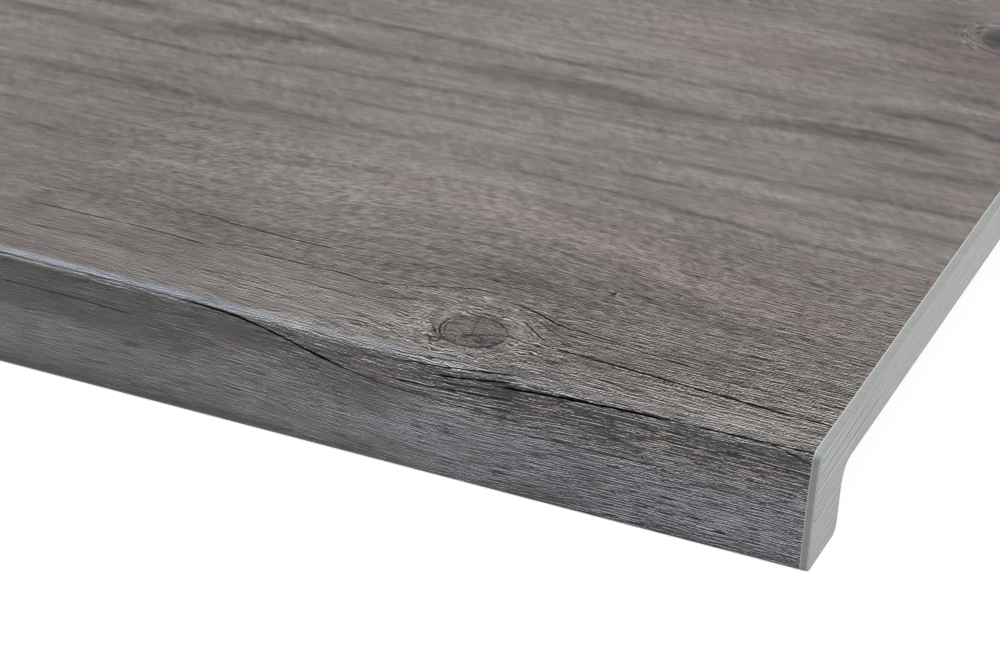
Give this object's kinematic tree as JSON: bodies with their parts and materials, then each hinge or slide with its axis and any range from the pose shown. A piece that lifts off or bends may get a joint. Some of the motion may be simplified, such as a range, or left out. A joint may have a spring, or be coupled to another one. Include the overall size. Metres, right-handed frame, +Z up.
{
  "type": "window sill board",
  "caption": "Interior window sill board with a down-turned rounded nosing along the front, a weathered grey wood decor face and grey plastic end bands.",
  "frame": {"origin": "middle of the length and depth, level with the foot of the nosing", "axes": "+X along the length, +Y from the nosing towards the window, +Z up through the top face"},
  "size_m": [1, 0.4, 0.04],
  "materials": {
    "wood_decor": "satin embossed weathered grey wood decor",
    "end_band": "matt light grey with faint wood stripes"
  },
  "bodies": {
    "root": {"sill_board": "wood_decor", "end_band_right": "end_band", "end_band_left": "end_band"}
  },
  "joints": []
}
